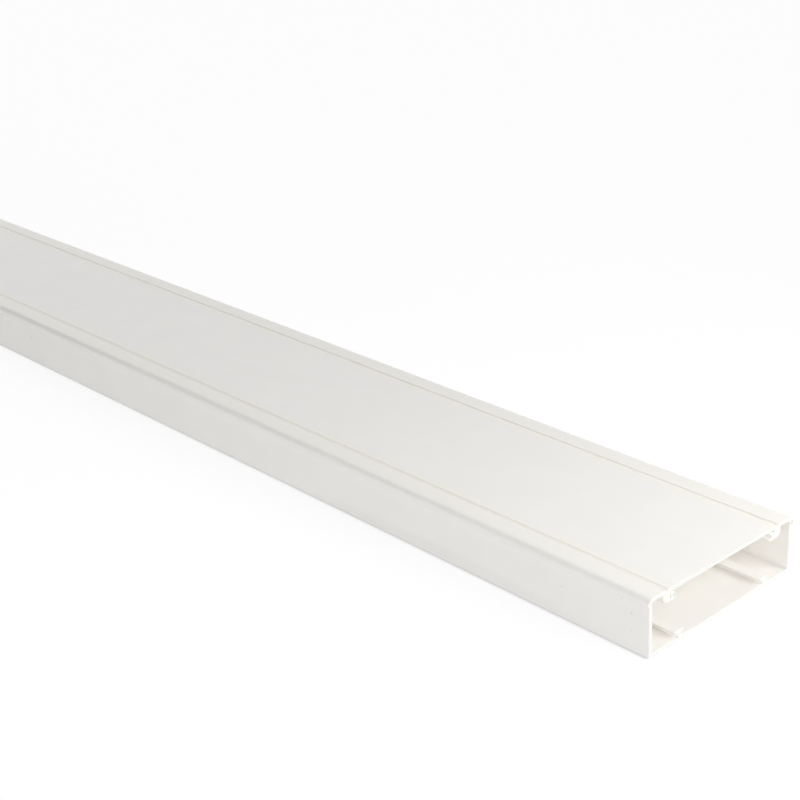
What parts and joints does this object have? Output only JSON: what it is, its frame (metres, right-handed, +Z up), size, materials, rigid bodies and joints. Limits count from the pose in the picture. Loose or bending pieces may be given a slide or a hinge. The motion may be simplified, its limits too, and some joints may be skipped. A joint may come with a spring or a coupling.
{
  "type": "cable trunking",
  "caption": "Straight length of white plastic cable trunking: a shallow channel with inward flanges, clip pockets and floor rails, closed by a flush snap-in lid.",
  "frame": {"origin": "middle of the underside, halfway along the length", "axes": "+X along the length, towards the end that the picture shows; +Y across the width; +Z up, out through the lid"},
  "size_m": [2, 0.125, 0.035],
  "materials": {
    "channel_plastic": "smooth semi-gloss white rigid PVC, as extruded",
    "lid_plastic": "smooth semi-gloss white rigid PVC, as extruded"
  },
  "bodies": {
    "channel": {"base_channel": "channel_plastic"},
    "cover": {"lid": "lid_plastic"}
  },
  "joints": [
    {"name": "lid_slide", "type": "slide", "parent": "channel", "child": "cover", "axis": [1, 0, 0], "range_m": [-2.02, 2.02]}
  ]
}
